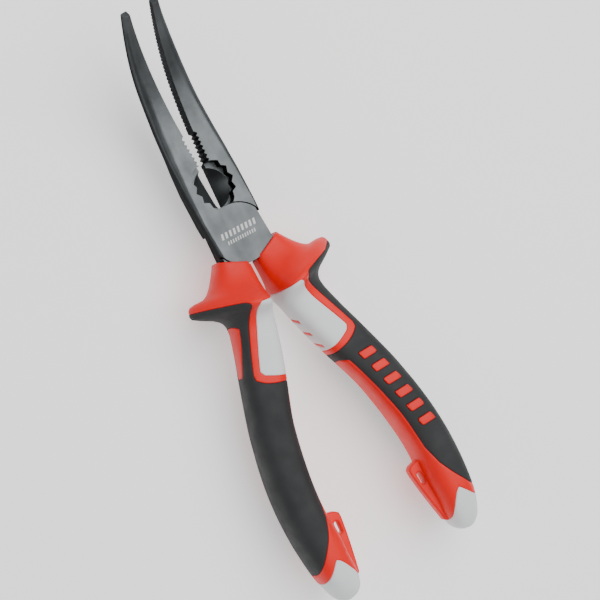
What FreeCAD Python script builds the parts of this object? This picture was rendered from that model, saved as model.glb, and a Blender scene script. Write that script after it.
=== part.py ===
"""Bent needle nose pliers, 205 mm, with two-colour moulded grips.

Lengths are in millimetres. Z runs along the pivot axis, Y runs from the handles to the tips.
The pliers lie on the back face of their joint, which is at Z = 0, with the bent nose pointing up.
Each half is drawn with the pliers closed, on its own side of the plane X = 0, and with the parting
plane of the lap joint at Z = 0. It is then turned about the pivot and lifted into place.
"""
import FreeCAD, Part
import math
import os

from FreeCAD import Vector

# ---- driving dimensions ------------------------------------------------------------------------
REST_OPENING = 6.03          # angle between the two halves at rest, degrees
HEAD_THICKNESS = 10.0
LAP_RADIUS = 10.15           # round lap plates about the pivot
LAP_FLAT = 9.0               # a lap plate's outer side is flattened here
LAP_GAP = 0.04               # between the two lap plates, half of it on each plate
SHOULDER_RADIUS = 10.45      # concave shoulders that clear the other half's lap plate
HEAD_HALF_WIDTH = 9.55
JAW_GAP = 0.03               # each gripping face stands this far from the middle plane

RIVET_RADIUS = 4.0
RIVET_HEAD_RADIUS = 5.6
RIVET_HEAD_HEIGHT = 1.6
RIVET_TOP = 3.8              # the rivet ends blind below the front face
RUNNING_CLEARANCE = 0.05

BEND_START = 33.0            # the nose is straight up to here
BEND_RADIUS = 62.0           # of the nose's front face
BEND_ANGLE = 46.0

GRIP_TILT = 14.0             # handle axis from the Y axis, degrees
COLLAR_TOP = -10.2           # where the collar's slanted top edge crosses the middle plane
COLLAR_SLOPE = 21.8          # of the top edge, degrees
COLLAR_CLEARANCE = 0.1       # between the collar's rim and the face of the other half's lap plate
INNER_SIDE = 0.45            # the grips stay this far from the middle plane
SKIN = 1.2                   # thickness of the soft skins over the hard core
FIN_HALF_THICKNESS = 2.2
BAR_HEIGHT = 0.35            # raised bars above the soft skin
MARK_PLACES = (-35.0, -40.5, -46.0)   # small windows in the thumb pad, along Y
MARK_HALF_LENGTH = 3.0
TANG_HALF_THICKNESS = 2.6

HALF = HEAD_THICKNESS / 2

# Jaw stations before the bend: y, half-width, thickness, radius of the outer corners.
STRAIGHT_STATIONS = [(2.0, 9.55, 10.0, 0.8), (8.0, 9.55, 10.0, 0.8), (20.0, 9.1, 10.0, 1.5),
                     (26.0, 8.7, 9.2, 2.0)]
ENTRY_STATIONS = [(26.0, 8.7, 9.2, 2.0), (30.0, 8.45, 8.2, 2.2), (33.0, 8.2, 7.5, 2.4)]
# Jaw stations round the bend: angle, half-width, thickness, radius of the outer corners.
BEND_STATIONS = [(5, 7.65, 7.0, 2.5), (11, 6.9, 6.7, 2.5), (20, 5.95, 6.2, 2.4), (28, 5.05, 5.2, 2.1),
                 (37, 3.8, 3.8, 1.6), (46, 2.6, 2.5, 1.0)]

# Grip stations along the tilted handle axis q: q, inner side, outer side, crest, half-thickness,
# squareness of the inner side, squareness of the outer side. 2 is an ellipse, more is squarer.
GRIP_STATIONS = [
    (6.4, -1.4, 9.5, 4.0, 5.95, 3.4, 3.4),
    (9.1, -1.75, 10.1, 4.0, 6.1, 3.4, 3.2),
    (12.4, -2.55, 11.25, 3.8, 6.9, 3.2, 2.8),
    (16.3, -3.5, 13.0, 3.2, 8.7, 3.0, 2.3),
    (19.2, -4.2, 15.4, 2.6, 11.4, 2.8, 1.9),
    (20.2, -4.4, 19.0, 2.4, 12.6, 2.8, 1.6),
    (21.2, -4.7, 20.9, 2.2, 14.0, 2.8, 1.4),
    (22.6, -5.1, 21.4, 2.0, 15.8, 2.8, 1.35),
    (24.2, -5.4, 21.3, 2.0, 16.2, 2.8, 1.35),
    (25.3, -5.65, 20.4, 2.0, 14.6, 2.8, 1.4),
    (26.1, -5.8, 16.6, 2.0, 12.4, 2.8, 1.6),
    (27.0, -5.95, 12.3, 2.0, 10.8, 2.8, 1.95),
    (28.5, -6.1, 10.0, 2.0, 9.4, 2.8, 2.3),
    (30.3, -6.3, 9.0, 1.8, 8.6, 3.0, 2.6),
    (33.2, -6.5, 8.6, 1.6, 8.15, 3.0, 2.8),
    (40.0, -6.55, 8.5, 1.4, 7.9, 3.2, 3.0),
    (48.0, -6.3, 8.75, 1.4, 7.9, 3.2, 3.0),
    (56.0, -5.75, 8.85, 1.6, 8.2, 3.2, 3.0),
    (64.0, -5.35, 8.9, 1.8, 8.6, 3.2, 2.8),
    (74.0, -6.05, 8.35, 1.3, 9.2, 3.0, 2.6),
    (84.0, -7.3, 7.15, 0.2, 9.7, 3.0, 2.6),
    (94.0, -9.5, 5.1, -1.9, 10.1, 2.8, 2.6),
    (104.0, -13.1, 2.1, -5.2, 10.3, 2.8, 2.6),
    (111.0, -14.9, -0.6, -7.5, 10.0, 2.8, 2.6),
    (117.0, -16.8, -3.2, -9.8, 9.0, 2.8, 2.5),
    (121.0, -17.0, -5.6, -11.3, 7.3, 2.6, 2.4),
    (124.0, -15.7, -7.8, -11.8, 4.7, 2.4, 2.2),
    (125.6, -13.4, -9.9, -11.7, 1.9, 2.2, 2.0),
]
GRIP_OUTLINE_POINTS = 24


# ---- small helpers -----------------------------------------------------------------------------
def curve(points):
    """A smooth edge through x, y points at Z = 0."""
    spline = Part.BSplineCurve()
    spline.interpolate([Vector(x, y, 0) for x, y in points])
    return spline.toShape()


def outline(*runs):
    """A closed face at Z = 0 from runs of points: ("line", ...) or ("curve", ...), joined end to end."""
    edges = []
    first = runs[0][1]
    last = None
    for kind, *points in runs:
        if last is not None:
            points = [last] + points
        if kind == "curve":
            edges.append(curve(points))
        else:
            edges.extend(Part.makePolygon([Vector(x, y, 0) for x, y in points]).Edges)
        last = points[-1]
    if math.dist(last, first) > 1e-6:
        edges.append(Part.makeLine(Vector(last[0], last[1], 0), Vector(first[0], first[1], 0)))
    return Part.Face(Part.Wire(Part.__sortEdges__(edges)))


def prism(face, low, high):
    """A face at Z = 0 as a solid from low to high."""
    moved = face.copy()
    moved.translate(Vector(0, 0, low))
    return moved.extrude(Vector(0, 0, high - low))


def polygon(*points):
    return outline(("line", *points))


def cylinder(radius, low, high):
    return Part.makeCylinder(radius, high - low, Vector(0, 0, low))


def mirrored(shape):
    return shape.mirror(Vector(0, 0, 0), Vector(1, 0, 0))


def tilted(p, q):
    """Handle coordinates (p across, q along the tilted axis) to x, y."""
    turn = math.radians(GRIP_TILT)
    return math.cos(turn) * p + math.sin(turn) * q, math.sin(turn) * p - math.cos(turn) * q


# ---- forged steel ------------------------------------------------------------------------------
def jaw_section(half_width, thickness, corner, place):
    """Closed outline of one jaw: flat gripping face, two rounded outer corners."""
    slope = corner * (1 - math.sqrt(0.5))
    inner_front = place(JAW_GAP, 0)
    front_end = place(half_width - corner, 0)
    front_middle = place(half_width - slope, slope)
    side_start = place(half_width, corner)
    side_end = place(half_width, thickness - corner)
    back_middle = place(half_width - slope, thickness - slope)
    back_end = place(half_width - corner, thickness)
    inner_back = place(JAW_GAP, thickness)
    return Part.Wire([
        Part.makeLine(inner_front, front_end),
        Part.Arc(front_end, front_middle, side_start).toShape(),
        Part.makeLine(side_start, side_end),
        Part.Arc(side_end, back_middle, back_end).toShape(),
        Part.makeLine(back_end, inner_back),
        Part.makeLine(inner_back, inner_front),
    ])


def straight_section(y, half_width, thickness, corner):
    return jaw_section(half_width, thickness, corner, lambda x, depth: Vector(x, y, HALF - depth))


def bent_section(angle, half_width, thickness, corner):
    turn = math.radians(angle)
    centre_z = HALF + BEND_RADIUS

    def place(x, depth):
        reach = BEND_RADIUS + depth
        return Vector(x, BEND_START + reach * math.sin(turn), centre_z - reach * math.cos(turn))

    return jaw_section(half_width, thickness, corner, place)


def coarse_teeth():
    """Saw-tooth recess in the gripping face, next to the pipe grip."""
    start, pitch, count = 25.6, 1.55, 7
    crest, root = 0.3, 1.05
    points = [(-1, start)]
    for tooth in range(count):
        points.append((crest, start + tooth * pitch))
        points.append((root, start + (tooth + 0.5) * pitch))
    points.append((crest, start + count * pitch))
    points.append((-1, start + count * pitch))
    return prism(polygon(*points), -HALF - 1, HALF + 2)


def fine_teeth():
    """Shallow cross grooves in the gripping face, all along the bent nose."""
    pitch, depth, half_width = 1.25, 0.28, 0.4
    centre_z = HALF + BEND_RADIUS
    step = math.degrees(pitch / BEND_RADIUS)
    grooves = []
    for number in range(int((BEND_ANGLE - 6.0) / step)):
        groove = Part.makePolygon([Vector(JAW_GAP - half_width, -half_width * 2, 0),
                                   Vector(JAW_GAP + depth, 0, 0),
                                   Vector(JAW_GAP - half_width, half_width * 2, 0),
                                   Vector(JAW_GAP - half_width, -half_width * 2, 0)])
        solid = Part.Face(groove).extrude(Vector(0, 0, 12))
        solid.translate(Vector(0, BEND_START, -HALF - 4))
        solid.rotate(Vector(0, BEND_START, centre_z), Vector(1, 0, 0), 5.2 + number * step)
        grooves.append(solid)
    return grooves


def pipe_grip():
    """Oval toothed opening in the front lap level, and the scooped faces of the side cutter behind it."""
    centre_y, count = 18.2, 5
    valleys = []
    crests = []
    for tooth in range(count):
        turn = math.radians(60 - 30 * tooth)
        valleys.append((6.0 * math.cos(turn) ** 0.8, centre_y + 7.6 * math.sin(turn)))
    for tooth in range(count - 1):
        turn = math.radians(45 - 30 * tooth)
        crests.append((4.9 * math.cos(turn) ** 0.8, centre_y + 6.6 * math.sin(turn)))
    points = [(-1, 25.7), (1.2, 25.7)]
    for tooth in range(count - 1):
        points.append(valleys[tooth])
        points.append(crests[tooth])
    points.append(valleys[-1])
    points.append((2.4, 10.3))
    points.append((-1, 10.3))
    walls = prism(polygon(*points), 0, HALF + 1)

    rim = bow(Vector(-0.2, 10.3, 0.01), Vector(5.1, 17.4, 0.01), Vector(-0.2, 24.2, 0.01))
    edge = bow(Vector(-0.2, 10.6, -3.6), Vector(0.02, 17.4, -3.6), Vector(-0.2, 23.8, -3.6))
    scoop = Part.makeLoft([rim, edge], True, True)
    return walls.fuse([scoop, cutter_relief()])


def bow(start, middle, end):
    """Closed wire: an arc and its chord."""
    return Part.Wire([Part.Arc(start, middle, end).toShape(), Part.makeLine(end, start)])


def cutter_relief():
    """Shallow bevel on the back of each cutting edge."""
    start, length = 9.0, 15.5
    profile = Part.makePolygon([Vector(-1, start, -HALF - 1), Vector(1.9, start, -HALF - 0.01),
                                Vector(0.2, start, -4.0), Vector(-1, start, -4.0),
                                Vector(-1, start, -HALF - 1)])
    return Part.Face(profile).extrude(Vector(0, length, 0))


def jaw():
    """The right jaw, full thickness, without the lap joint."""
    body = Part.makeLoft([straight_section(*station) for station in STRAIGHT_STATIONS], True, True)
    sections = [straight_section(*station) for station in ENTRY_STATIONS]
    sections += [bent_section(*station) for station in BEND_STATIONS]
    nose = Part.makeLoft(sections, True, False)
    return body.fuse(nose).cut([coarse_teeth(), pipe_grip()] + fine_teeth())


def tang():
    """The right handle's tang, from the lap joint to inside the grip."""
    root = polygon((3.4, -7.8), (LAP_FLAT, -3.0), (LAP_FLAT, -6.5), tilted(8.3, 18), tilted(-1.0, 19),
                   (3.2, -12.0))
    root = prism(root, -HALF + 0.5, HALF)
    blade = outline(("line", tilted(-2.4, 15), tilted(7.4, 15)),
                    ("curve", tilted(5.6, 30), tilted(4.8, 50), tilted(4.4, 70), tilted(2.0, 86)),
                    ("line", tilted(-3.6, 89)),
                    ("curve", tilted(-2.2, 70), tilted(-2.3, 50), tilted(-2.2, 30), tilted(-2.4, 15)))
    return root.fuse(prism(blade, -TANG_HALF_THICKNESS, TANG_HALF_THICKNESS))


def head_envelope():
    """Keeps the lap plates inside the head's width, with the same rounded side edges as the jaws."""
    corner = STRAIGHT_STATIONS[0][3]
    block = Part.makeBox(2 * HEAD_HALF_WIDTH, 60, HEAD_THICKNESS, Vector(-HEAD_HALF_WIDTH, -30, -HALF))
    long_edges = [edge for edge in block.Edges if abs(edge.Vertexes[0].Y - edge.Vertexes[1].Y) > 1]
    return block.makeFillet(corner, long_edges)


def lap_plate(low, high):
    """Round plate of the lap joint, flattened on its right."""
    flat_side = Part.makeBox(30, 60, 20, Vector(LAP_FLAT, -30, -10))
    return cylinder(LAP_RADIUS, low, high).cut(flat_side).common(head_envelope())


def steel_half(jaw_side, front):
    """One forged half. jaw_side is -1 for the left jaw, and front says on which lap level its plate is."""
    blade = jaw() if jaw_side > 0 else mirrored(jaw())
    handle = tang() if jaw_side < 0 else mirrored(tang())
    if not front:
        handle = handle.mirror(Vector(0, 0, 0), Vector(0, 0, 1))
    own = (LAP_GAP / 2, HALF) if front else (-HALF, -LAP_GAP / 2)
    other = (-HALF - 1, LAP_GAP / 2) if front else (-LAP_GAP / 2, HALF + 1)
    plate = lap_plate(*own) if jaw_side < 0 else mirrored(lap_plate(*own))
    whole = blade.fuse([handle, plate])
    return whole.cut(cylinder(SHOULDER_RADIUS, *other)).cut(lap_room(jaw_side, own))


def lap_room(jaw_side, level):
    """Room beside the jaw's gripping face on its own lap level, where the other jaw swings in."""
    start = SHOULDER_RADIUS - 0.35
    far = -jaw_side * 14
    room = polygon((0, start), (far, start), (far, 30), (0, 30))
    return prism(room, level[0] - 1, level[1] + 1)


def rivet(clearance=0.0, top=RIVET_TOP):
    """Blind rivet, countersunk and ground flush at the back."""
    shank = cylinder(RIVET_RADIUS + clearance, -HALF, top)
    head = Part.makeCone(RIVET_HEAD_RADIUS + clearance, RIVET_RADIUS + clearance, RIVET_HEAD_HEIGHT,
                         Vector(0, 0, -HALF))
    return shank.fuse(head)


# ---- moulded grips -----------------------------------------------------------------------------
def grip_section(q, inner, outer, crest, thickness, inner_square, outer_square, inset):
    """Closed rounded outline across the handle, drawn inset from the outside."""
    points = []
    for number in range(GRIP_OUTLINE_POINTS):
        turn = 2 * math.pi * (number + 0.5) / GRIP_OUTLINE_POINTS
        across = math.cos(turn)
        up = math.sin(turn)
        reach = (outer - crest if across > 0 else crest - inner) - inset
        power = 2 / (outer_square if across > 0 else inner_square)
        p = crest + math.copysign(reach * abs(across) ** power, across)
        z = math.copysign((thickness - inset) * abs(up) ** power, up)
        x, y = tilted(p, q)
        points.append(Vector(x, y, z))
    spline = Part.BSplineCurve()
    steps = [float(number) for number in range(GRIP_OUTLINE_POINTS + 1)]
    spline.interpolate(Points=points, Parameters=steps, PeriodicFlag=True)
    return Part.Wire(spline.toShape())


def grip_body(inset=0.0, first=0, last=None):
    """The whole grip, without colours, or the same shape inset by a skin's thickness."""
    stations = GRIP_STATIONS[first:last]
    return Part.makeLoft([grip_section(*station, inset) for station in stations], True, False)


def pad_zone():
    """Front outline of the thumb pad, open over the inner side."""
    return outline(("line", (-3, -23.5), (1, -23.3), (6.4, -22.9)),
                   ("curve", (7.6, -24.3), (9.1, -29.3), (10.9, -34), (12.9, -39), (14.7, -43.9)),
                   ("curve", (13.7, -45.6), (10.8, -46.9), (8.1, -47.9), (5.0, -48.5)),
                   ("line", (0, -49.3), (-3, -49.3)))


def pad_mark(y):
    """Small window in the inner edge of the thumb pad, through which the core shows."""
    x = 1.9 + (-35.3 - y) * 0.26
    return polygon((x - 2, y + 0.3), (x + 3.2, y + 1.5), (x + 3.2, y - 0.1), (x - 2, y - 1.3))


def palm_zone():
    """Front outline of the soft palm grip: under the guard, down the outer side, to the slanted tail."""
    return outline(("line", (30, -16.3), (25.6, -17.5), (22.3, -18.7), (16.0, -20.1), (11.2, -21.3)),
                   ("curve", (10.0, -22.2), (9.7, -23.5), (10.3, -25.4), (11.9, -29.2), (13.8, -34.3),
                    (15.4, -38.8), (17.2, -44.2)),
                   ("curve", (17.1, -46.1), (14.5, -48.0), (11, -49.4), (5.3, -50.6)),
                   ("line", (0, -51.4), (0, -52.4), (6.6, -53.1)),
                   ("curve", (8.3, -54.2), (9.6, -55.6), (12.0, -65.0), (13.9, -73.9), (15.0, -81.5),
                    (15.6, -91.0)),
                   ("curve", (16.3, -97.0), (19.6, -104.8), (23.2, -110.4)),
                   ("line", (26.4, -113.8), (31, -118)))


def outer_stripe_zone():
    """Window down the outer side, in which the core shows."""
    return outline(("line", (22, -25.4), (16.0, -26.9)),
                   ("curve", (14.6, -28.4), (16.1, -33.4), (18.1, -38.9), (19.9, -43.8)),
                   ("line", (21.5, -45.5), (27, -44)))


def cap_zone():
    """End cap, with a peak that runs up the handle."""
    return outline(("line", (31, -119), (25.6, -117.0)),
                   ("curve", (24, -115.8), (22.4, -114.3), (20.5, -112.0), (18.8, -109.8)),
                   ("curve", (17.4, -110.7), (15.9, -112.6), (13.8, -115.9), (12.6, -118.2), (11.6, -119.4)),
                   ("line", (6, -121.5), (6, -130), (31, -130)))


def fin():
    """Flat lanyard fin on the inner side of the tail, with its slot."""
    plate = outline(("line", (16, -95.4), (12.9, -96.0), (10.1, -96.5)),
                    ("curve", (8.9, -97.6), (8.9, -100.2), (9.5, -106.5), (10.4, -113.4), (11.1, -118.0)),
                    ("line", (12.0, -119.0), (16, -119.0)))
    slot = outline(("curve", (10.6, -100.5), (11.4, -99.7), (12.2, -100.5)),
                   ("line", (12.2, -103.2)),
                   ("curve", (11.4, -104.0), (10.6, -103.2)))
    plate = prism(plate, -FIN_HALF_THICKNESS, FIN_HALF_THICKNESS)
    plate = plate.makeFillet(0.8, [edge for edge in plate.Edges if fin_edge(edge)])
    return plate, prism(slot, -20, 20)


def fin_edge(edge):
    """True for the fin's long curved edges, which are rounded."""
    middle = edge.CenterOfMass
    return abs(abs(middle.z) - FIN_HALF_THICKNESS) < 0.01 and middle.x < 11.2 and edge.Length > 3


def bars():
    """Row of slanted raised bars along the handle, on one face only."""
    first, pitch, count = 55.6, 5.9, 6
    width, slant, half_length = 2.9, 1.4, 2.6
    rows = []
    for number in range(count):
        q = first + number * pitch
        middle = 1.9 - 0.0021 * (q - first) ** 2
        low, high = middle - half_length, middle + half_length
        bar = polygon(tilted(low, q), tilted(low, q + width), tilted(high, q + width + slant),
                      tilted(high, q + slant))
        rows.append(prism(bar, 0, 20))
    return Part.makeCompound(rows)


def joint_room():
    """What the grip leaves free: above its collar, beyond its inner plane, and round the lap plates."""
    above = Part.makeBox(80, 40, 60, Vector(-40, 0, -30))
    above.rotate(Vector(0, 0, 0), Vector(0, 0, 1), COLLAR_SLOPE)
    above.translate(Vector(0, COLLAR_TOP, 0))
    other_plate = cylinder(SHOULDER_RADIUS, -HALF - COLLAR_CLEARANCE, 0)
    inner_side = Part.makeBox(40, 200, 60, Vector(INNER_SIDE - 40, -150, -30))
    return [above, inner_side, other_plate, lap_plate(0, HALF)]


def moulded_grip():
    """The right grip as named pieces that fill each other's gaps."""
    body = grip_body()
    for room in joint_room():
        body = body.cut(room)
    inside = grip_body(inset=SKIN, first=4)
    fin_plate, slot = fin()
    marks = [prism(pad_mark(y), -MARK_HALF_LENGTH, MARK_HALF_LENGTH) for y in MARK_PLACES]
    soft_zone = prism(palm_zone(), -30, 30).cut(prism(outer_stripe_zone(), -30, 30))
    raised = grip_body(inset=-BAR_HEIGHT, first=14, last=23).common(bars()).cut(inside)
    soft_grip = body.common(soft_zone).cut(inside).cut(raised)
    thumb_pad = body.common(prism(pad_zone(), -30, 30)).cut([inside] + marks)
    end_cap = body.common(prism(cap_zone(), -30, 30))
    core = body.fuse(fin_plate).cut([soft_grip, thumb_pad, end_cap, raised, slot, tang()])
    return {"grip_core": core, "soft_grip": soft_grip, "thumb_pad": thumb_pad, "end_cap": end_cap,
            "grip_bars": raised}


# ---- assembly ----------------------------------------------------------------------------------
def placed(shape, turn):
    """From the closed drawing position to its place at rest."""
    shape = shape.copy()
    shape.rotate(Vector(0, 0, 0), Vector(0, 0, 1), turn)
    shape.translate(Vector(0, 0, HALF))
    return shape


def turned_over(shape):
    """A half turn about the Y axis: the right grip becomes the left one."""
    shape = shape.copy()
    shape.rotate(Vector(0, 0, 0), Vector(0, 1, 0), 180)
    return shape


def build():
    half_turn = REST_OPENING / 2
    front_half = steel_half(jaw_side=-1, front=True).cut(rivet())
    rear_half = steel_half(jaw_side=1, front=False).cut(rivet(RUNNING_CLEARANCE, HALF + 1))
    pieces = {"front_half": placed(front_half, half_turn), "rear_half": placed(rear_half, -half_turn),
              "pivot_rivet": placed(rivet(), half_turn)}
    for name, shape in moulded_grip().items():
        pieces["right_" + name] = placed(shape, half_turn)
        pieces["left_" + name] = placed(turned_over(shape), -half_turn)
    return pieces


os.makedirs("parts", exist_ok=True)
for name, shape in build().items():
    shape.exportStep("parts/" + name + ".step")
    box = shape.BoundBox
    print(name, shape.isValid(), len(shape.Solids), round(shape.Volume),
          "x", round(box.XMin, 1), round(box.XMax, 1), "y", round(box.YMin, 1), round(box.YMax, 1),
          "z", round(box.ZMin, 1), round(box.ZMax, 1))
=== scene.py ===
"""Looks of the bent needle nose pliers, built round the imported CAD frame.

The forged steel pieces keep their CAD meshes and get procedural steel. The two moulded grips are
rebuilt as fine meshes: one grip surface is cut along the colour outlines, and each colour becomes its
own closed shell with rounded edges, so that narrow grooves run between the colours.
Lengths in the grip code are millimetres, in the same drawing position as the CAD: pliers closed,
pivot on the Z axis, parting plane at Z = 0.
"""

import math

import bpy
import numpy as np
from mathutils import Matrix, Vector


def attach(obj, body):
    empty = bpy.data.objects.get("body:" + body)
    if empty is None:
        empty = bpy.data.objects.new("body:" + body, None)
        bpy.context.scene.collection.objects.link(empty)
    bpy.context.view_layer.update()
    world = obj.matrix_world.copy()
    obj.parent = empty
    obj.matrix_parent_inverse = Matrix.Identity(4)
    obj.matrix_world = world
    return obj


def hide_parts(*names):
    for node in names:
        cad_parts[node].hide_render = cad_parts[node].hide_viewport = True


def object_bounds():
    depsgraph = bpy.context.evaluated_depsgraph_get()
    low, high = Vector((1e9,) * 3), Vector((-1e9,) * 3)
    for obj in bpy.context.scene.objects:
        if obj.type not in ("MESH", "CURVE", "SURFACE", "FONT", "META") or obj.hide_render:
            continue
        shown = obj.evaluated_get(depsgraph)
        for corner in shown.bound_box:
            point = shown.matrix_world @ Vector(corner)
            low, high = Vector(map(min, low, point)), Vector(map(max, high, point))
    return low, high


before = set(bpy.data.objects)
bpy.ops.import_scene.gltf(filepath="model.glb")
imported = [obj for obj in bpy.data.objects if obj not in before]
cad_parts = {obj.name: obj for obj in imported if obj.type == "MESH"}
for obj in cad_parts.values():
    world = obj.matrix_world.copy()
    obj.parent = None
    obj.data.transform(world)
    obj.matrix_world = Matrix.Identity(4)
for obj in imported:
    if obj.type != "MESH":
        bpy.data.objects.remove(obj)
CAD_BOX = [list(corner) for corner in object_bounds()]

MM = 0.001
REST_OPENING = 6.03          # angle between the two halves at rest, degrees
MID_HEIGHT = 5.0             # parting plane above the joint's back face
FRONT_FACE = 10.0            # flat front of the joint above its back face
GRIP_TILT = 14.0             # handle axis from the Y axis, degrees
LAP_RADIUS = 10.15           # lap plate of the grip's own half
SHOULDER_RADIUS = 10.45      # room for the other half's lap plate
COLLAR_TOP = -10.2           # where the collar's slanted top edge crosses the middle plane
COLLAR_SLOPE = 21.8          # of the top edge, degrees
COLLAR_FLOOR = 5.12          # the collar's underside, just clear of the lap plates' faces
INNER_PLANE = 0.45           # the grips stay this far from the middle plane
EDGE_RADIUS = 0.36           # rounding along the colour outlines
RIM_RADIUS = 0.5             # rounding of the collar's rim
RIM_DROP = 0.4               # the rim's rounding stops at this depth
BAR_HEIGHT = 0.4             # raised bars above the soft skin
FIN_HALF_THICKNESS = 2.2
FIN_EDGE = 0.7               # rounding of the lanyard fin
SLOT_CENTRE = (11.4, -101.85)
SLOT_RADIUS = 0.8            # of the slot's round ends
SLOT_HALF_RUN = 1.35         # from the slot's centre to the middle of a round end
MARK_PLACES = (34.4, 40.1, 45.7)      # dashes in the thumb pad, along the handle axis
MARK_HALF_WIDTH = 0.75
MARK_HALF_LENGTH = 3.0
MARK_LEAN = 0.25
GIRTH = 64.0                 # round the grip, roughly
SPACING = 0.8      # between the points of the grip surface
FAR = 99.0                   # stands for no outline nearby
NOISE_LOW, NOISE_HIGH = 0.3, 0.7          # the noise stays mostly between these
SPECULAR_LEVEL = 0.25

# Grip stations along the tilted handle axis q: q, inner side, outer side, crest, half-thickness,
# squareness of the inner side, squareness of the outer side.
GRIP_STATIONS = [
    (6.4, -1.4, 9.5, 4.0, 5.95, 3.4, 3.4),
    (9.1, -1.75, 10.1, 4.0, 6.1, 3.4, 3.2),
    (12.4, -2.55, 11.25, 3.8, 6.9, 3.2, 2.8),
    (16.3, -3.5, 13.0, 3.2, 8.7, 3.0, 2.3),
    (19.2, -4.2, 15.4, 2.6, 11.4, 2.8, 1.9),
    (20.2, -4.4, 19.0, 2.4, 12.6, 2.8, 1.6),
    (21.2, -4.7, 20.9, 2.2, 14.0, 2.8, 1.4),
    (22.6, -5.1, 21.4, 2.0, 15.8, 2.8, 1.35),
    (24.2, -5.4, 21.3, 2.0, 16.2, 2.8, 1.35),
    (25.3, -5.65, 20.4, 2.0, 14.6, 2.8, 1.4),
    (26.1, -5.8, 16.6, 2.0, 12.4, 2.8, 1.6),
    (27.0, -5.95, 12.3, 2.0, 10.8, 2.8, 1.95),
    (28.5, -6.1, 10.0, 2.0, 9.4, 2.8, 2.3),
    (30.3, -6.3, 9.0, 1.8, 8.6, 3.0, 2.6),
    (33.2, -6.5, 8.6, 1.6, 8.15, 3.0, 2.8),
    (40.0, -6.55, 8.5, 1.4, 7.9, 3.2, 3.0),
    (48.0, -6.3, 8.75, 1.4, 7.9, 3.2, 3.0),
    (56.0, -5.75, 8.85, 1.6, 8.2, 3.2, 3.0),
    (64.0, -5.35, 8.9, 1.8, 8.6, 3.2, 2.8),
    (74.0, -6.05, 8.35, 1.3, 9.2, 3.0, 2.6),
    (84.0, -7.3, 7.15, 0.2, 9.7, 3.0, 2.6),
    (94.0, -9.5, 5.1, -1.9, 10.1, 2.8, 2.6),
    (104.0, -13.1, 2.1, -5.2, 10.3, 2.8, 2.6),
    (111.0, -14.9, -0.6, -7.5, 10.0, 2.8, 2.6),
    (117.0, -16.8, -3.2, -9.8, 9.0, 2.8, 2.5),
    (121.0, -17.0, -5.6, -11.3, 7.3, 2.6, 2.4),
    (124.0, -15.7, -7.8, -11.8, 4.7, 2.4, 2.2),
    (125.6, -13.4, -9.9, -11.7, 1.9, 2.2, 2.0),
]


# ---- camera, floor and light -------------------------------------------------------------------
def add_camera():
    """Looks down on the lying pliers, a little from the left, rolled so that the tips point up-left."""
    azimuth, elevation, roll = (math.radians(angle) for angle in (17.0, 3.23, 27.86))
    distance, focal, sensor = 650 * MM, 117.04, 36.0
    target = Vector((8.87, -29.16, MID_HEIGHT)) * MM
    back = Vector((-math.sin(azimuth) * math.cos(elevation), math.sin(elevation),
                   math.cos(azimuth) * math.cos(elevation)))
    across = Vector((math.cos(azimuth), 0, math.sin(azimuth)))
    along = back.cross(across)
    right = math.cos(roll) * across - math.sin(roll) * along
    up = math.sin(roll) * across + math.cos(roll) * along
    data = bpy.data.cameras.new("camera")
    data.lens = focal
    data.sensor_width = sensor
    camera = bpy.data.objects.new("camera", data)
    turn = Matrix((right, up, back)).transposed().to_4x4()
    camera.matrix_world = Matrix.Translation(target + distance * back) @ turn
    bpy.context.scene.collection.objects.link(camera)
    bpy.context.scene.camera = camera
    return target


def add_area(name, target, offset, size, power):
    """Rectangular lamp that faces the target from an offset. Lengths in metres, power in watts."""
    data = bpy.data.lights.new(name, "AREA")
    data.shape = "RECTANGLE"
    data.size, data.size_y = size
    data.energy = power
    lamp = bpy.data.objects.new(name, data)
    lamp.rotation_mode = "QUATERNION"
    lamp.rotation_quaternion = Vector(offset).to_track_quat("Z", "Y")
    lamp.location = target + Vector(offset)
    bpy.context.scene.collection.objects.link(lamp)


def add_floor():
    """White paper just below the object, bright enough to look shadowless away from it."""
    half_side, gap, glow = 3.0, 0.2 * MM, 0.5
    height = CAD_BOX[0][2] - gap
    mesh = bpy.data.meshes.new("floor")
    corners = [(x * half_side, y * half_side, height) for x, y in ((-1, -1), (1, -1), (1, 1), (-1, 1))]
    mesh.from_pydata(corners, [], [(0, 1, 2, 3)])
    floor = bpy.data.objects.new("floor", mesh)
    bpy.context.scene.collection.objects.link(floor)
    paper = plain_material("floor", (0.94, 0.94, 0.94), 0.9)
    shader = paper.node_tree.nodes["Principled BSDF"]
    shader.inputs["Emission Color"].default_value = (1, 1, 1, 1)
    shader.inputs["Emission Strength"].default_value = glow
    floor.data.materials.append(paper)


def add_studio(target):
    """Floor, a large lamp overhead, weaker ones from the left and the handles' end, and a dim white sky."""
    add_floor()
    add_area("key_light", target, (0.30, 0.16, 0.95), (1.1, 1.1), 15)
    add_area("left_light", target, (-0.9, 0.25, 0.75), (0.5, 0.9), 2.0)
    add_area("nose_light", target, (-0.1, -1.0, 0.4), (1.2, 0.6), 2.5)
    world = bpy.data.worlds.new("world")
    world.use_nodes = True
    sky = world.node_tree.nodes["Background"]
    sky.inputs["Color"].default_value = (1, 1, 1, 1)
    sky.inputs["Strength"].default_value = 0.15
    bpy.context.scene.world = world


# ---- materials ---------------------------------------------------------------------------------
def plain_material(name, colour, roughness, metallic=0.0):
    material = bpy.data.materials.new(name)
    material.use_nodes = True
    shader = material.node_tree.nodes["Principled BSDF"]
    shader.inputs["Base Color"].default_value = (*colour, 1)
    shader.inputs["Roughness"].default_value = roughness
    shader.inputs["Metallic"].default_value = metallic
    shader.inputs["Specular IOR Level"].default_value = SPECULAR_LEVEL
    return material


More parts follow.
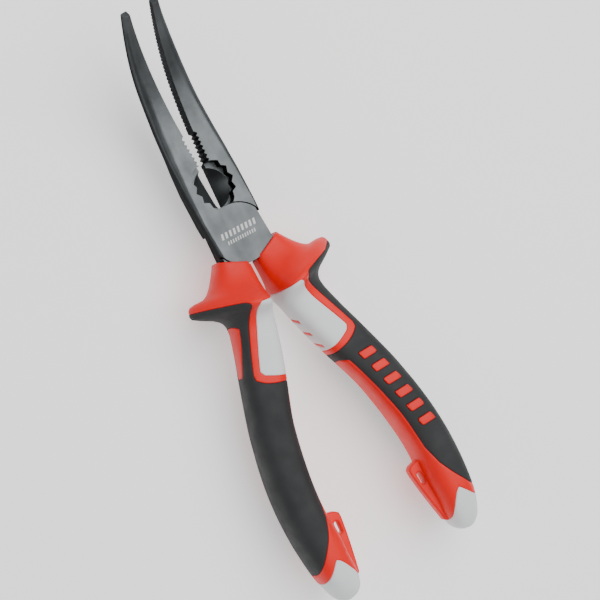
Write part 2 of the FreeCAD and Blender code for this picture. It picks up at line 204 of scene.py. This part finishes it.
def add_noise(tree, scale, detail, stretch=(1, 1, 1)):
    """Noise in the object's own metres, stretched along the axes."""
    place = tree.nodes.new("ShaderNodeTexCoord")
    mapping = tree.nodes.new("ShaderNodeMapping")
    mapping.inputs["Scale"].default_value = stretch
    noise = tree.nodes.new("ShaderNodeTexNoise")
    noise.inputs["Scale"].default_value = scale
    noise.inputs["Detail"].default_value = detail
    tree.links.new(place.outputs["Object"], mapping.inputs["Vector"])
    tree.links.new(mapping.outputs["Vector"], noise.inputs["Vector"])
    return noise.outputs["Fac"]


def add_range(tree, source, low, high):
    """Maps noise to low..high."""
    node = tree.nodes.new("ShaderNodeMapRange")
    node.inputs["From Min"].default_value = NOISE_LOW
    node.inputs["From Max"].default_value = NOISE_HIGH
    node.inputs["To Min"].default_value = low
    node.inputs["To Max"].default_value = high
    tree.links.new(source, node.inputs["Value"])
    return node.outputs["Result"]


def add_colours(tree, source, dark, light):
    """Maps noise to colours between dark and light."""
    ramp = tree.nodes.new("ShaderNodeValToRGB")
    ramp.color_ramp.elements[0].position = NOISE_LOW
    ramp.color_ramp.elements[1].position = NOISE_HIGH
    ramp.color_ramp.elements[0].color = (*dark, 1)
    ramp.color_ramp.elements[1].color = (*light, 1)
    tree.links.new(source, ramp.inputs["Fac"])
    return ramp.outputs["Color"]


def add_bump(tree, source, strength, distance, below=None):
    """Relief from the noise, laid over the relief below it."""
    bump = tree.nodes.new("ShaderNodeBump")
    bump.inputs["Strength"].default_value = strength
    bump.inputs["Distance"].default_value = distance
    tree.links.new(source, bump.inputs["Height"])
    if below is not None:
        tree.links.new(below, bump.inputs["Normal"])
    return bump.outputs["Normal"]


def moulded_material(name, dark, light, roughness, grain, grain_height):
    """Moulded plastic: faint colour drift, fine spark-eroded grain, uneven sheen."""
    material = plain_material(name, light, roughness[0])
    tree = material.node_tree
    shader = tree.nodes["Principled BSDF"]
    drift, sheen, waves = add_noise(tree, 60, 3), add_noise(tree, 220, 3), add_noise(tree, 90, 2)
    fine = add_bump(tree, add_noise(tree, grain, 2), 0.5, grain_height)
    tree.links.new(add_colours(tree, drift, dark, light), shader.inputs["Base Color"])
    tree.links.new(add_range(tree, sheen, *roughness), shader.inputs["Roughness"])
    tree.links.new(add_bump(tree, waves, 0.25, 0.2 * MM, fine), shader.inputs["Normal"])
    return material


def add_facing(tree, low, high):
    """Rises from 0 to 1 as the surface turns from the tool's sides to its front and back, low to high."""
    place = tree.nodes.new("ShaderNodeTexCoord")
    split = tree.nodes.new("ShaderNodeSeparateXYZ")
    size = tree.nodes.new("ShaderNodeMath")
    size.operation = "ABSOLUTE"
    rise = tree.nodes.new("ShaderNodeMapRange")
    rise.interpolation_type = "SMOOTHSTEP"
    rise.inputs["From Min"].default_value = low
    rise.inputs["From Max"].default_value = high
    tree.links.new(place.outputs["Normal"], split.inputs["Vector"])
    tree.links.new(split.outputs["Z"], size.inputs[0])
    tree.links.new(size.outputs["Value"], rise.inputs["Value"])
    return rise.outputs["Result"]


def steel_material(name, side_shade, dark, light, roughness):
    """Satin forged steel: ground flat faces; the sides get a painted shade colour, darker than the faces."""
    material = plain_material(name, light, roughness[0], metallic=0.85)
    tree = material.node_tree
    shader = tree.nodes["Principled BSDF"]
    shader.inputs["Specular Tint"].default_value = (0.35, 0.36, 0.37, 1)
    ground = add_colours(tree, add_noise(tree, 120, 4), dark, light)
    blend = tree.nodes.new("ShaderNodeMix")
    blend.data_type = "RGBA"
    blend.inputs["A"].default_value = (*side_shade, 1)
    # painted shade: surfaces that face sideways take the dark side colour instead of the ground steel
    tree.links.new(add_facing(tree, -0.15, 1.0), blend.inputs["Factor"])
    tree.links.new(ground, blend.inputs["B"])
    tree.links.new(blend.outputs["Result"], shader.inputs["Base Color"])
    streaks = add_noise(tree, 400, 3, (1, 0.15, 1))
    tree.links.new(add_range(tree, streaks, *roughness), shader.inputs["Roughness"])
    edges = tree.nodes.new("ShaderNodeBevel")
    edges.samples = 6
    edges.inputs["Radius"].default_value = 0.25 * MM
    grinding, pits = add_noise(tree, 2600, 2, (0.12, 1, 1)), add_noise(tree, 700, 3)
    lines = add_bump(tree, grinding, 0.25, 0.03 * MM, edges.outputs["Normal"])
    tree.links.new(add_bump(tree, pits, 0.15, 0.05 * MM, lines), shader.inputs["Normal"])
    return material


# ---- the grip surface --------------------------------------------------------------------------
def smooth_rows(knots, rows, places):
    """Shape-keeping cubic through the rows, one column at a time."""
    knots, rows = np.array(knots, float), np.array(rows, float)
    gaps = np.diff(knots)[:, None]
    slopes = np.diff(rows, axis=0) / gaps
    product = slopes[:-1] * slopes[1:]
    total = slopes[:-1] + slopes[1:]
    inner = np.where(product > 0, 2 * product / np.where(total == 0, 1, total), 0)
    ends = np.vstack([slopes[:1], inner, slopes[-1:]])
    index = np.clip(np.searchsorted(knots, places, side="right") - 1, 0, len(knots) - 2)
    step = (knots[index + 1] - knots[index])[:, None]
    t = (places - knots[index])[:, None] / step
    h00, h10 = (1 + 2 * t) * (1 - t) ** 2, t * (1 - t) ** 2
    h01, h11 = t * t * (3 - 2 * t), t * t * (t - 1)
    return (h00 * rows[index] + h10 * step * ends[index]
            + h01 * rows[index + 1] + h11 * step * ends[index + 1])


def tilted(p, q):
    """Handle coordinates (p across, q along) to x, y."""
    turn = math.radians(GRIP_TILT)
    return math.cos(turn) * p + math.sin(turn) * q, math.sin(turn) * p - math.cos(turn) * q


def grip_grid(spacing):
    """Closed grid of points on the grip: rings along q, evenly spaced points round each ring."""
    stations = np.array(GRIP_STATIONS)
    first, last = stations[0, 0], stations[-1, 0]
    rings = int((last - first) / spacing)
    places = np.linspace(first, last, rings)
    table = smooth_rows(stations[:, 0], stations[:, 1:], places)
    count = int(GIRTH / spacing)
    dense = np.linspace(0, 2 * math.pi, 4 * 360 + 1)
    across, up = np.cos(dense), np.sin(dense)
    points, centres = [], []
    for place, (inner, outer, crest, thick, inner_square, outer_square) in zip(places, table):
        reach = np.where(across > 0, outer - crest, crest - inner)
        power = 2 / np.where(across > 0, outer_square, inner_square)
        p = crest + reach * np.sign(across) * np.abs(across) ** power
        z = thick * np.sign(up) * np.abs(up) ** power
        length = np.concatenate([[0], np.cumsum(np.hypot(np.diff(p), np.diff(z)))])
        even = np.linspace(0, length[-1], count, endpoint=False)
        p, z = np.interp(even, length, p), np.interp(even, length, z)
        x, y = tilted(p, place)
        points.append(np.column_stack([x, y, z]))
        middle = tilted(crest, place)
        centres.append(np.tile([*middle, 0.0, place], (count, 1)))
    return np.array(points), np.array(centres)


# Columns of the vertex table: the point, the handle's middle beside it, the place q along the handle,
# one distance per colour outline, and last the surface normal.
POINT, CENTRE, PLACE, OUTLINE_START = slice(0, 3), slice(3, 6), 6, 7
TIP_RISE = 0.35              # of the closing point beyond the last ring


def grip_mesh(spacing):
    """Vertex table, up to the column q, and triangles of the grip surface, closed at the tail."""
    points, centres = grip_grid(spacing)
    rings, count = points.shape[:2]
    table = np.concatenate([points, centres], axis=2).reshape(-1, OUTLINE_START)
    tip = table[-count:].mean(axis=0)
    tip[:2] += tilted(0, TIP_RISE)
    table = np.vstack([table, tip])
    ring, spoke = np.meshgrid(np.arange(rings - 1), np.arange(count), indexing="ij")
    a = (ring * count + spoke).ravel()
    b = (ring * count + (spoke + 1) % count).ravel()
    c, d = a + count, b + count
    faces = np.vstack([np.column_stack([a, b, d]), np.column_stack([a, d, c])])
    last = np.arange(count) + (rings - 1) * count
    cap = np.column_stack([last, np.roll(last, -1), np.full(count, len(table) - 1)])
    return table, np.vstack([faces, cap])


def vertex_normals(points, faces):
    """Unit normal at each point, averaged over its triangles by area."""
    a, b, c = (points[faces[:, corner]] for corner in range(3))
    normals = np.cross(b - a, c - a)
    total = np.zeros_like(points)
    for corner in range(3):
        np.add.at(total, faces[:, corner], normals)
    return total / np.maximum(np.linalg.norm(total, axis=1, keepdims=True), 1e-12)


def cut_mesh(table, faces, labels, height):
    """Splits the triangles along height = 0. The table's columns are carried on to the new vertices.
    Returns the new mesh, its labels, and for each triangle whether it lies below."""
    height = np.where(np.abs(height) < 1e-4, 0.0, height)
    side = np.sign(height).astype(int)
    corners = side[faces]
    crossing = (corners.max(axis=1) > 0) & (corners.min(axis=1) < 0)
    kept = faces[~crossing]
    kept_labels = labels[~crossing]
    work = faces[crossing]
    work_labels = labels[crossing]
    signs = side[work]
    edges = np.sort(np.vstack([work[:, [0, 1]], work[:, [1, 2]], work[:, [2, 0]]]), axis=1)
    edges = np.unique(edges[side[edges[:, 0]] * side[edges[:, 1]] < 0], axis=0)
    share = height[edges[:, 0]] / (height[edges[:, 0]] - height[edges[:, 1]])
    fresh = table[edges[:, 0]] * (1 - share[:, None]) + table[edges[:, 1]] * share[:, None]
    factor = len(table)
    keys = edges[:, 0] * factor + edges[:, 1]

    def between(u, v):
        low, high = np.minimum(u, v), np.maximum(u, v)
        return np.searchsorted(keys, low * factor + high) + len(table)

    result, result_labels = [kept], [kept_labels]
    with_zero = (signs == 0).any(axis=1)
    some, some_signs, some_labels = work[with_zero], signs[with_zero], work_labels[with_zero]
    if len(some):
        start = np.argmax(some_signs == 0, axis=1)
        rows = np.arange(len(some))
        zero, u, v = (some[rows, (start + step) % 3] for step in range(3))
        middle = between(u, v)
        result += [np.column_stack([zero, u, middle]), np.column_stack([zero, middle, v])]
        result_labels += [some_labels, some_labels]
    some, some_signs, some_labels = work[~with_zero], signs[~with_zero], work_labels[~with_zero]
    if len(some):
        odd = np.argmax(some_signs == -np.sign(some_signs.sum(axis=1))[:, None], axis=1)
        rows = np.arange(len(some))
        lone, u, v = (some[rows, (odd + step) % 3] for step in range(3))
        first, second = between(lone, u), between(lone, v)
        result += [np.column_stack([lone, first, second]), np.column_stack([first, u, v]),
                   np.column_stack([first, v, second])]
        result_labels += [some_labels] * 3
    faces = np.vstack(result)
    labels = np.concatenate(result_labels)
    height = np.concatenate([height, np.zeros(len(fresh))])
    below = height[faces].sum(axis=1) < 0
    return np.vstack([table, fresh]), faces, labels, below


# ---- colour outlines ---------------------------------------------------------------------------
LINE_STEPS, CORNER_STEPS = 8, 6
STRAIGHT = -0.9              # cosine beyond which two sides of a loop count as one curve


def smooth_line(points):
    """Catmull-Rom curve through the points."""
    points = np.array(points, float)
    padded = np.vstack([2 * points[0] - points[1], points, 2 * points[-1] - points[-2]])
    result = []
    for number in range(len(points) - 1):
        a, b, c, d = padded[number:number + 4]
        for t in np.arange(LINE_STEPS) / LINE_STEPS:
            result.append(0.5 * (2 * b + (c - a) * t + (2 * a - 5 * b + 4 * c - d) * t * t
                                 + (3 * b - a - 3 * c + d) * t ** 3))
    result.append(points[-1])
    return np.array(result)


def rounded_loop(loop, radius):
    """Closed polyline with its corners rounded."""
    loop = np.array(loop, float)
    result = []
    for number, corner in enumerate(loop):
        before, after = loop[number - 1] - corner, loop[(number + 1) % len(loop)] - corner
        long_before, long_after = np.linalg.norm(before), np.linalg.norm(after)
        turn = np.dot(before, after) / (long_before * long_after)
        if turn < STRAIGHT:
            result.append(corner)
            continue
        reach = min(radius, 0.45 * long_before, 0.45 * long_after)
        start, end = corner + before / long_before * reach, corner + after / long_after * reach
        for t in np.linspace(0, 1, CORNER_STEPS):
            result.append((1 - t) ** 2 * start + 2 * t * (1 - t) * corner + t * t * end)
    return np.array(result)


def signed_distance(points, loop):
    """Distance to a closed polyline, negative inside, and the direction away from its nearest point."""
    points = points[:, :2]
    best = np.full(len(points), np.inf)
    away = np.zeros_like(points)
    inside = np.zeros(len(points), bool)
    for start, end in zip(loop, np.roll(loop, -1, axis=0)):
        run = end - start
        if np.dot(run, run) < 1e-12:
            continue
        share = np.clip((points - start) @ run / np.dot(run, run), 0, 1)
        gap = points - start - share[:, None] * run
        distance = np.hypot(gap[:, 0], gap[:, 1])
        nearer = distance < best
        best = np.where(nearer, distance, best)
        away[nearer] = gap[nearer]
        if start[1] != end[1]:
            crosses = (start[1] > points[:, 1]) != (end[1] > points[:, 1])
            reach = start[0] + (points[:, 1] - start[1]) * run[0] / run[1]
            inside ^= crosses & (points[:, 0] < reach)
    away /= np.maximum(np.linalg.norm(away, axis=1, keepdims=True), 1e-9)
    return np.where(inside, -best, best), away


def pad_loop():
    """Thumb pad, open over the inner side."""
    side = smooth_line([(7.6, -24.3), (9.1, -29.3), (10.9, -34), (12.9, -39), (14.7, -43.9)])
    foot = smooth_line([(13.7, -45.6), (10.8, -46.9), (8.1, -47.9), (5.0, -48.5)])
    return np.vstack([[(-3, -23.5), (1, -23.3), (6.4, -22.9)], side, foot, [(0, -49.3), (-3, -49.3)]])


def palm_loop(top, inner, tail):
    """Soft palm grip: under the guard, round the stripe's strip, down the inner edge, to the slanted tail."""
    neck = smooth_line([(9.7, -23.5), (10.3, -25.4), (11.9, -29.2), (13.8, -34.3), (15.4, -38.8),
                        (17.2, -44.2)])
    foot = smooth_line([(17.1, -46.1), (14.5, -48.0), (11, -49.4), (5.3, -50.6)])
    return np.vstack([[(30, -16.3), (25.6, -17.5)], top, [(10.0, -22.2)], neck, foot,
                      [(0, -51.4), (0, -52.4), (6.6, -53.1)], smooth_line(inner), smooth_line(tail),
                      [(26.4, -113.8), (31, -118)]])


def palm_front():
    return palm_loop([(21.8, -19.3), (15.7, -20.4), (11.0, -21.4)],
                     [(8.3, -54.2), (9.6, -55.6), (12.2, -65.0), (14.1, -73.9), (15.2, -81.5),
                      (15.8, -93.1)],
                     [(17.2, -99.5), (19.9, -105.1), (23.2, -110.6)])


def palm_back():
    return palm_loop([(22.8, -18.1), (16.4, -19.7), (11.4, -21.0)],
                     [(7.9, -54.2), (8.7, -55.8), (10.8, -63.3), (12.6, -73.1), (13.8, -83.1),
                      (14.4, -91.2)],
                     [(15.2, -95.8), (18.4, -102.7), (23.2, -109.6)])


def stripe_loop(side):
    """Window down the outer side, in which the core shows."""
    return np.vstack([[(22, -25.4), (16.0, -26.9)], smooth_line(side), [(21.5, -45.5), (27, -44)]])


def stripe_front():
    return stripe_loop([(15.7, -28.4), (16.75, -33.4), (18.3, -38.9), (19.8, -43.8)])


def stripe_back():
    return stripe_loop([(14.6, -28.4), (16.1, -33.4), (18.1, -38.9), (19.9, -43.8)])


def cap_loop():
    """End cap, with a peak that runs up the handle."""
    outer = smooth_line([(24, -115.8), (22.4, -114.3), (20.5, -112.0), (18.8, -109.8)])
    inner = smooth_line([(17.4, -110.7), (15.9, -112.6), (13.8, -115.9), (12.6, -118.2), (11.6, -119.4)])
    return np.vstack([[(31, -119), (25.6, -117.0)], outer, inner, [(6, -121.5), (6, -130), (31, -130)]])


def bar_loops():
    """Row of slanted bars along the handle."""
    first, pitch, count = 55.6, 5.9, 6
    width, slant, half_length = 2.9, 1.4, 2.6
    loops = []
    for number in range(count):
        q = first + number * pitch
        middle = 1.9 - 0.0021 * (q - first) ** 2
        low, high = middle - half_length, middle + half_length
        loops.append([tilted(low, q), tilted(low, q + width), tilted(high, q + width + slant),
                      tilted(high, q + slant)])
    return loops


def mark_height(table):
    """Three slanted dashes on the pad's inner side, negative inside."""
    q, z = table[:, PLACE], table[:, 2]
    best = np.full(len(table), FAR)
    for place in MARK_PLACES:
        across = np.abs(q - place - MARK_LEAN * z) - MARK_HALF_WIDTH
        best = np.minimum(best, np.maximum(across, np.abs(z) - MARK_HALF_LENGTH))
    inner_side = table[:, 0] < table[:, 3]
    return np.where(inner_side, best, FAR)


OUTLINES = ("pad", "palm", "stripe", "cap", "bars", "marks")
LEAST_SLOPE = 0.2            # keeps the distances finite where the surface is seen edge on


def outline_heights(table, normals):
    """One column per outline: distance along the surface, negative inside. Each loop has a corner radius
    and a place where it counts."""
    front = table[:, 2] > 0
    everywhere = np.ones(len(table), bool)
    parts = {"pad": [(pad_loop(), 1.3, everywhere)],
             "palm": [(palm_front(), 1.0, front), (palm_back(), 1.0, ~front)],
             "stripe": [(stripe_front(), 1.2, front), (stripe_back(), 1.2, ~front)],
             "cap": [(cap_loop(), 0.8, everywhere)],
             "bars": [(loop, 0.4, front) for loop in bar_loops()]}
    columns = []
    for name in OUTLINES[:-1]:
        height = np.full(len(table), FAR)
        for loop, corner, where in parts[name]:
            distance, away = signed_distance(table, rounded_loop(loop, corner))
            slope = np.sqrt(np.clip(1 - (normals[:, :2] * away).sum(axis=1) ** 2, LEAST_SLOPE, 1))
            height = np.where(where, np.minimum(height, distance / slope), height)
        columns.append(height)
    columns.append(mark_height(table))
    return np.column_stack(columns)


def joint_height(points):
    """Positive above the collar's slanted top edge and inside the room left for the two lap plates."""
    x, y, z = points.T
    slope = math.radians(COLLAR_SLOPE)
    above = (y - COLLAR_TOP) * math.cos(slope) - x * math.sin(slope)
    radius = np.where(z > 0, LAP_RADIUS, SHOULDER_RADIUS)
    plates = np.minimum(radius - np.hypot(x, y), COLLAR_FLOOR - np.abs(z))
    return np.maximum(above, plates)


# ---- grip pieces -------------------------------------------------------------------------------
def grip_zones(spacing):
    """The grip surface cut along all outlines, with a few more rows of points where edges are rounded.
    Returns the vertex table, the triangles, and each triangle's piece name."""
    table, faces = grip_mesh(spacing)
    normals = vertex_normals(table[:, POINT], faces)
    table = np.hstack([table, outline_heights(table, normals), normals])
    labels = np.zeros(len(faces), int)
    for number in range(len(OUTLINES)):
        table, faces, labels, below = cut_mesh(table, faces, labels, table[:, OUTLINE_START + number])
        labels = labels | (below.astype(int) << number)
    for offset in (0.04, 0.13, EDGE_RADIUS):
        table, faces, labels, _ = cut_mesh(table, faces, labels, nearest_outline(table) - offset)
    table, faces, labels, below = cut_mesh(table, faces, labels, joint_height(table[:, POINT]))
    faces, labels = faces[below], labels[below]
    for offset in (0.08, 0.25, RIM_RADIUS):
        table, faces, labels, _ = cut_mesh(table, faces, labels, joint_height(table[:, POINT]) + offset)

    def inside(name):
        return (labels >> OUTLINES.index(name)) & 1 == 1

    piece = np.full(len(faces), "grip_core", dtype=object)
    piece[inside("palm") & ~inside("stripe")] = "soft_grip"
    piece[(piece == "soft_grip") & inside("bars")] = "grip_bars"
    piece[inside("pad") & ~inside("marks")] = "thumb_pad"
    piece[inside("cap")] = "end_cap"
    return table, faces, piece


def nearest_outline(table):
    """Distance to the nearest colour edge. Windows count only in or near the piece they are cut from."""
    signed = table[:, OUTLINE_START:OUTLINE_START + len(OUTLINES)]
    heights = np.abs(signed)
    for window, piece in (("marks", "pad"), ("stripe", "palm")):
        outside = signed[:, OUTLINES.index(piece)] >= 1
        heights[outside, OUTLINES.index(window)] = FAR
    return heights.min(axis=1)


def rounded_drop(distance, radius):
    """How far a quarter-round edge lies below the surface at that distance from the edge."""
    t = np.clip(1 - distance / radius, 0, 1)
    return radius * (1 - np.sqrt(1 - t * t))


LEAST_SHARE, MOST_SHARE = 0.02, 0.5   # of the way from the surface to the handle's middle
PLATE_MARGIN = 0.4           # beyond the lap plates' rims
INNER_WALL = 0.5             # thickness of a shell at the inner plane
FLATTENING = 0.6             # distance over which a surface flattens against the inner plane


def shell(table, faces, rise):
    """Closed shell of one piece: rounded outside, walls, and an inside drawn towards the handle's middle
    by a share that changes along the handle. Over the lap plates the shell stays above their faces, and
    both surfaces flatten smoothly against the inner plane."""
    used, faces = np.unique(faces, return_inverse=True)
    faces = faces.reshape(-1, 3)
    table = table[used]
    points, centres, place, normals = table[:, POINT], table[:, CENTRE], table[:, PLACE], table[:, -3:]
    drop = rounded_drop(nearest_outline(table), EDGE_RADIUS)
    drop += np.minimum(rounded_drop(-joint_height(points), RIM_RADIUS), RIM_DROP)
    outside = points + normals * (rise - drop)[:, None]
    share = np.interp(place, [18, 23, 30, 110, 123], [MOST_SHARE, 0.3, 0.16, 0.14, 0.4])
    over_plate = np.hypot(points[:, 0], points[:, 1]) < SHOULDER_RADIUS + PLATE_MARGIN
    above_plate = 1 - COLLAR_FLOOR / np.maximum(np.abs(outside[:, 2]), 0.1)
    thin = np.clip(above_plate, LEAST_SHARE, MOST_SHARE)
    share = np.where(over_plate, np.minimum(share, thin), share)[:, None]
    inside = points + (centres - points) * share
    for surface, plane in ((outside, INNER_PLANE), (inside, INNER_PLANE + INNER_WALL)):
        short = plane + FLATTENING - surface[:, 0]
        flat = plane + FLATTENING * np.exp(-np.maximum(short, 0) / FLATTENING)
        surface[:, 0] = np.where(short > 0, flat, surface[:, 0])
    count = len(points)
    edges = np.vstack([faces[:, [0, 1]], faces[:, [1, 2]], faces[:, [2, 0]]])
    keys = edges[:, 0] * count + edges[:, 1]
    rim = edges[~np.isin(keys, edges[:, 1] * count + edges[:, 0])]
    walls = np.column_stack([rim[:, 1], rim[:, 0], rim[:, 0] + count, rim[:, 1] + count])
    polygons = faces.tolist() + (faces[:, ::-1] + count).tolist() + walls.tolist()
    return np.vstack([outside, inside]), polygons


def new_piece(name, points, polygons, material):
    """Smooth-shaded object from points in metres."""
    mesh = bpy.data.meshes.new(name)
    mesh.from_pydata([tuple(point) for point in points], [], polygons)
    mesh.validate()
    mesh.shade_smooth()
    mesh.materials.append(material)
    piece = bpy.data.objects.new(name, mesh)
    bpy.context.scene.collection.objects.link(piece)
    return piece


def place_points(points, side):
    """From the drawing position, in mm, to rest, in metres. The left grip is the right one turned over."""
    points = np.array(points, float)
    turn = math.radians(REST_OPENING / 2)
    if side == "left":
        points = points * (-1, 1, -1)
        turn = -turn
    x = math.cos(turn) * points[:, 0] - math.sin(turn) * points[:, 1]
    y = math.sin(turn) * points[:, 0] + math.cos(turn) * points[:, 1]
    return np.column_stack([x, y, points[:, 2] + MID_HEIGHT]) * MM


def fin_mesh():
    """Lanyard fin with its slot, as a filled outline with rounded edges."""
    outer = np.vstack([[(16, -95.4), (12.9, -96.0), (10.1, -96.5)],
                       smooth_line([(8.9, -97.6), (8.9, -100.2), (9.5, -106.5), (10.4, -113.4),
                                    (11.1, -118.0)]),
                       [(12.0, -119.0), (16, -119.0)]])
    turns = np.linspace(0, 2 * math.pi, 24, endpoint=False)
    slot = SLOT_RADIUS * np.column_stack([np.cos(turns), np.sin(turns)]) + SLOT_CENTRE
    slot[:, 1] += np.where(np.sin(turns) > 0, SLOT_HALF_RUN, -SLOT_HALF_RUN)
    curve = bpy.data.curves.new("fin", "CURVE")
    curve.dimensions = "2D"
    curve.fill_mode = "BOTH"
    curve.extrude = FIN_HALF_THICKNESS - FIN_EDGE
    curve.bevel_depth = FIN_EDGE
    curve.bevel_resolution = 3
    curve.offset = -FIN_EDGE
    for loop in (rounded_loop(outer, 2 * FIN_EDGE), slot):
        spline = curve.splines.new("POLY")
        spline.points.add(len(loop) - 1)
        corners = np.column_stack([loop, np.zeros(len(loop)), np.ones(len(loop))])
        spline.points.foreach_set("co", corners.ravel())
        spline.use_cyclic_u = True
    holder = bpy.data.objects.new("fin", curve)
    mesh = bpy.data.meshes.new_from_object(holder)
    points = [tuple(vertex.co) for vertex in mesh.vertices]
    polygons = [list(polygon.vertices) for polygon in mesh.polygons]
    bpy.data.objects.remove(holder)
    return points, polygons


def add_grips(materials):
    """Both grips: the left one has the right one's meshes, turned over."""
    table, faces, piece = grip_zones(SPACING)
    slots = {"grip_core": "red_plastic", "soft_grip": "dark_soft_plastic",
             "thumb_pad": "grey_soft_plastic", "end_cap": "grey_soft_plastic", "grip_bars": "red_plastic"}
    fin_points, fin_polygons = fin_mesh()
    for name, slot in slots.items():
        rise = BAR_HEIGHT if name == "grip_bars" else 0.0
        points, polygons = shell(table, faces[piece == name], rise)
        if name == "grip_core":
            polygons += [[index + len(points) for index in polygon] for polygon in fin_polygons]
            points = np.vstack([points, fin_points])
        for side, body in (("right", "front_lever"), ("left", "rear_lever")):
            node = side + "_" + name
            thing = new_piece(node + "_moulding", place_points(points, side), polygons, materials[slot])
            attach(thing, body)
            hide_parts(node)


# ---- steel -------------------------------------------------------------------------------------
def slab(outline, low, high):
    """Closed prism over an outline given anticlockwise."""
    count = len(outline)
    points = [(x, y, low) for x, y in outline] + [(x, y, high) for x, y in outline]
    polygons = [list(range(count))[::-1], list(range(count, 2 * count))]
    polygons += [[n, (n + 1) % count, (n + 1) % count + count, n + count] for n in range(count)]
    return points, polygons


def add_head_print(material):
    """Two rows of plain slanted strokes printed on the flat front of the joint.
    Row: centre x and y, length, height, number of strokes, filled share."""
    rows = ((0.0, 1.4, 13.6, 2.0, 9, 0.5), (-0.1, -1.3, 10.9, 1.2, 12, 0.45))
    depth, rise, lean = 0.05, 0.02, 0.2
    points, polygons = [], []
    for centre_x, centre_y, length, height, count, fill in rows:
        pitch = length / count
        for number in range(count):
            left = centre_x - length / 2 + (number + 0.5 - fill / 2) * pitch
            right = left + fill * pitch
            low, high, shift = centre_y - height / 2, centre_y + height / 2, lean * height / 2
            outline = [(left - shift, low), (right - shift, low), (right + shift, high),
                       (left + shift, high)]
            more, faces = slab(outline, FRONT_FACE - depth, FRONT_FACE + rise)
            polygons += [[index + len(points) for index in polygon] for polygon in faces]
            points += more
    mesh = bpy.data.meshes.new("head_print")
    mesh.from_pydata([tuple(axis * MM for axis in point) for point in points], [], polygons)
    mesh.materials.append(material)
    thing = bpy.data.objects.new("head_print", mesh)
    bpy.context.scene.collection.objects.link(thing)
    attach(thing, "front_lever")


def dress_steel(materials):
    """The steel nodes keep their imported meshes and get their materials."""
    slots = {"front_half": "forged_steel", "rear_half": "forged_steel", "pivot_rivet": "rivet_steel"}
    for node, slot in slots.items():
        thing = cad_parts[node]
        thing.data.materials.clear()
        thing.data.materials.append(materials[slot])


def make_materials():
    """Steels: painted side shade, dark and light ground colours, roughness. Plastics: dark and light colours,
    roughness, scale and height of the grain."""
    steels = {
        # the first colour of each steel is painted shade for its sides
        "forged_steel": ((0.012, 0.013, 0.013), (0.08, 0.087, 0.09), (0.125, 0.135, 0.14), (0.34, 0.46)),
        "rivet_steel": ((0.05, 0.052, 0.054), (0.20, 0.205, 0.21), (0.28, 0.285, 0.29), (0.3, 0.42)),
    }
    plastics = {
        "red_plastic": ((0.80, 0.008, 0.005), (0.90, 0.012, 0.008), (0.40, 0.50), 2500, 0.02 * MM),
        "dark_soft_plastic": ((0.026, 0.027, 0.028), (0.036, 0.037, 0.038), (0.6, 0.75), 3000, 0.05 * MM),
        "grey_soft_plastic": ((0.74, 0.765, 0.77), (0.80, 0.825, 0.835), (0.5, 0.62), 3000, 0.03 * MM),
        "marking_paint": ((0.62, 0.63, 0.63), (0.74, 0.75, 0.75), (0.5, 0.65), 2500, 0.01 * MM),
    }
    materials = {name: steel_material(name, *look) for name, look in steels.items()}
    materials.update({name: moulded_material(name, *look) for name, look in plastics.items()})
    return materials


add_studio(add_camera())
finishes = make_materials()
dress_steel(finishes)
add_head_print(finishes["marking_paint"])
add_grips(finishes)
